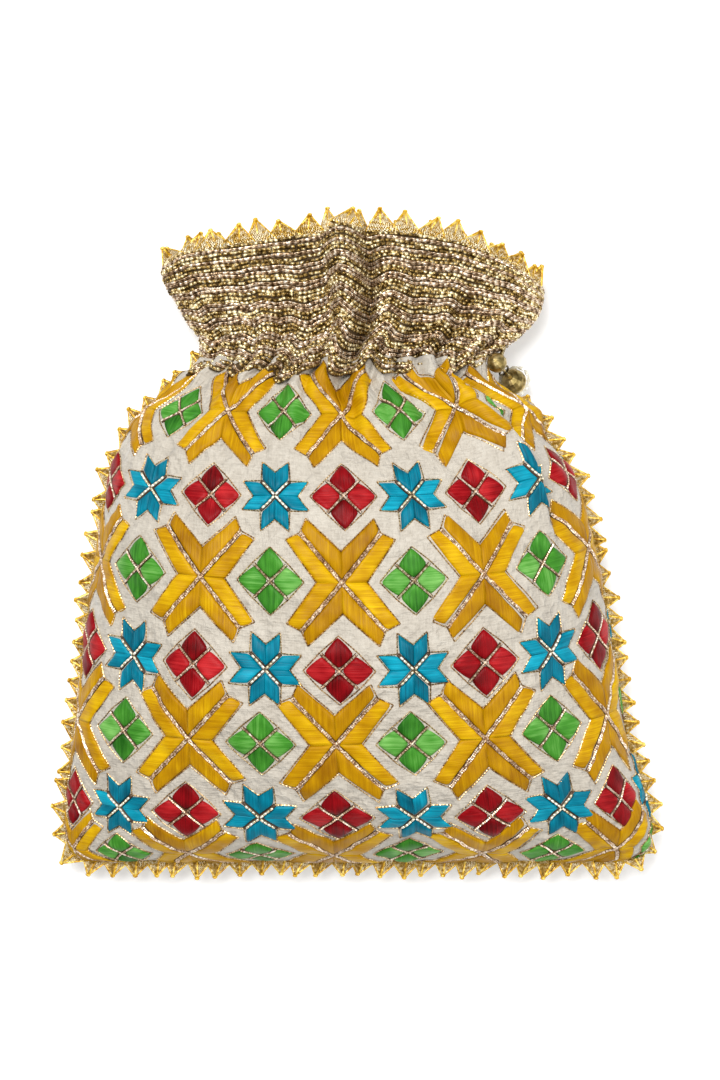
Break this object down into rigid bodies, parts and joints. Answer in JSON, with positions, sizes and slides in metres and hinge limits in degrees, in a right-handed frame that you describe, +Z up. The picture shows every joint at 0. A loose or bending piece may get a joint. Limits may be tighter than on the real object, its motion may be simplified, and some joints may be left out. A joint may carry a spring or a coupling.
{
  "type": "potli bag",
  "caption": "Gathered drawstring pouch of embroidered silk with a beaded collar, folded ribbon trim and a bead pendant, lying on its back.",
  "frame": {"origin": "under the middle of the bag, on the surface that its back lies on", "axes": "+Z up out of the embroidered front, +Y along the bag towards its mouth, +X to the right of one who looks at the front"},
  "size_m": [0.2365, 0.2578, 0.073],
  "materials": {
    "cream_silk": "matt slub silk with satin stitch in yellow, green, red and blue, couched in gold",
    "tan_lining": "smooth satin lining",
    "gold_beadwork": "rows of gold cut beads and rose wire sewn on cloth",
    "gold_ribbon": "woven metallic ribbon",
    "gold_cord": "twisted metallic cord",
    "antique_gold": "darkened, softly polished",
    "pale_crystal": "small clear and gold beads strung on wire"
  },
  "bodies": {
    "bag": {"front_panel": "cream_silk", "back_panel": "cream_silk", "lining": "tan_lining", "beaded_collar": "gold_beadwork", "seam_trim": "gold_ribbon", "mouth_trim": "gold_ribbon", "drawstring": "gold_cord", "cord_bead": "antique_gold"},
    "link": {"wire_link": "antique_gold"},
    "pendant": {"pendant_bell": "antique_gold", "pendant_band": "pale_crystal"}
  },
  "joints": [
    {"name": "link_swing", "type": "hinge", "parent": "bag", "child": "link", "pos_m": [0.05441, 0.0658, 0.02246], "axis": [-0.6691, -0.7431, 0], "range_deg": [-26, 8]},
    {"name": "pendant_swing", "type": "hinge", "parent": "link", "child": "pendant", "pos_m": [0.05606, 0.06431, 0.0189], "axis": [-0.6691, -0.7431, 0], "range_deg": [-6, 4]}
  ]
}
